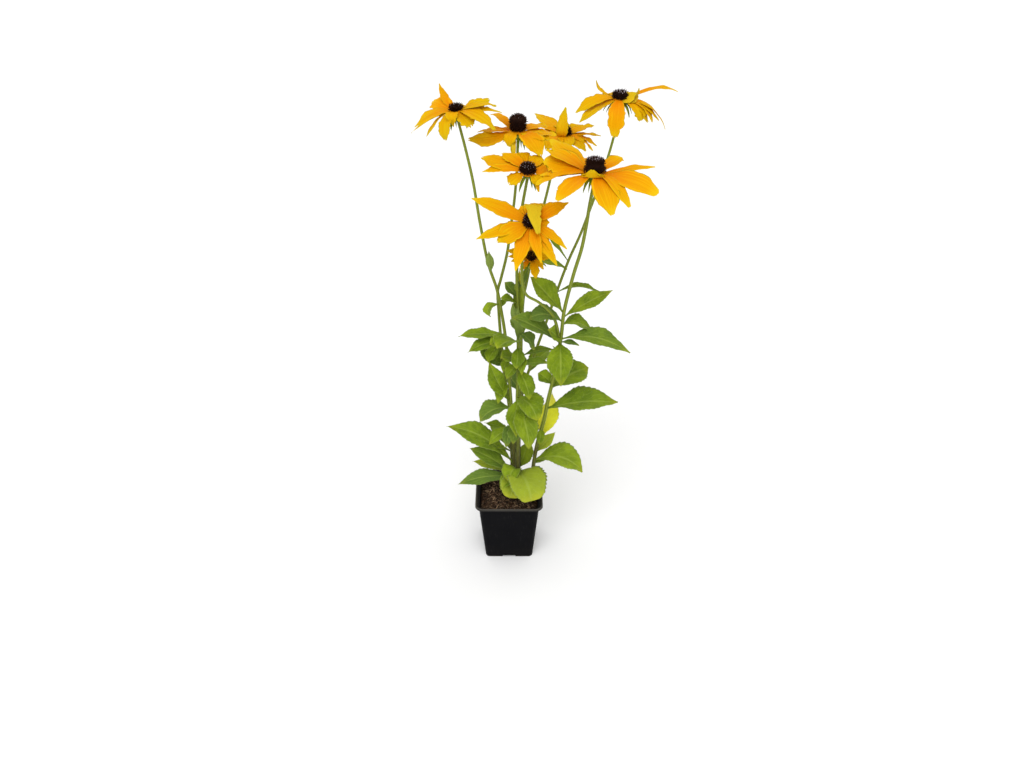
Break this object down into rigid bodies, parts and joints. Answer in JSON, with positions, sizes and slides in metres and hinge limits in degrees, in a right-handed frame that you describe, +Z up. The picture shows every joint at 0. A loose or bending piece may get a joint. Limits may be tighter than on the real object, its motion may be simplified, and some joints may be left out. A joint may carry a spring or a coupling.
{
  "type": "potted rudbeckia",
  "caption": "Rudbeckia in flower: hairy leafy stems stand in lumpy soil in a square black nursery pot and carry golden daisy blooms with drooping petals and dark domed cones",
  "frame": {"origin": "the middle of the pot's flat base, on the surface that the pot stands on", "axes": "+Z up along the stems, +X to the right of the picture, -Y to the front, with the pot's sides along X and Y"},
  "size_m": [0.3132, 0.2656, 0.6485],
  "materials": {
    "pot": "matte moulded black",
    "soil": "rough crumbly peat",
    "foliage": "hairy matte green",
    "petals": "soft satin golden yellow",
    "cones": "dark brown, bristly",
    "withered_leaf": "matte yellow"
  },
  "bodies": {
    "root": {"pot": "pot", "soil": "soil", "stem_a": "foliage", "stem_b": "foliage", "stem_c": "foliage", "stem_d": "foliage", "stem_e": "foliage", "stem_f": "foliage", "leaf_yellow": "withered_leaf", "petals_a": "petals", "cone_a": "cones", "petals_b": "petals", "cone_b": "cones", "petals_c": "petals", "cone_c": "cones", "petals_d": "petals", "cone_d": "cones", "petals_e": "petals", "cone_e": "cones", "petals_f": "petals", "cone_f": "cones", "petals_g": "petals", "cone_g": "cones", "petals_h": "petals", "cone_h": "cones"}
  },
  "joints": []
}
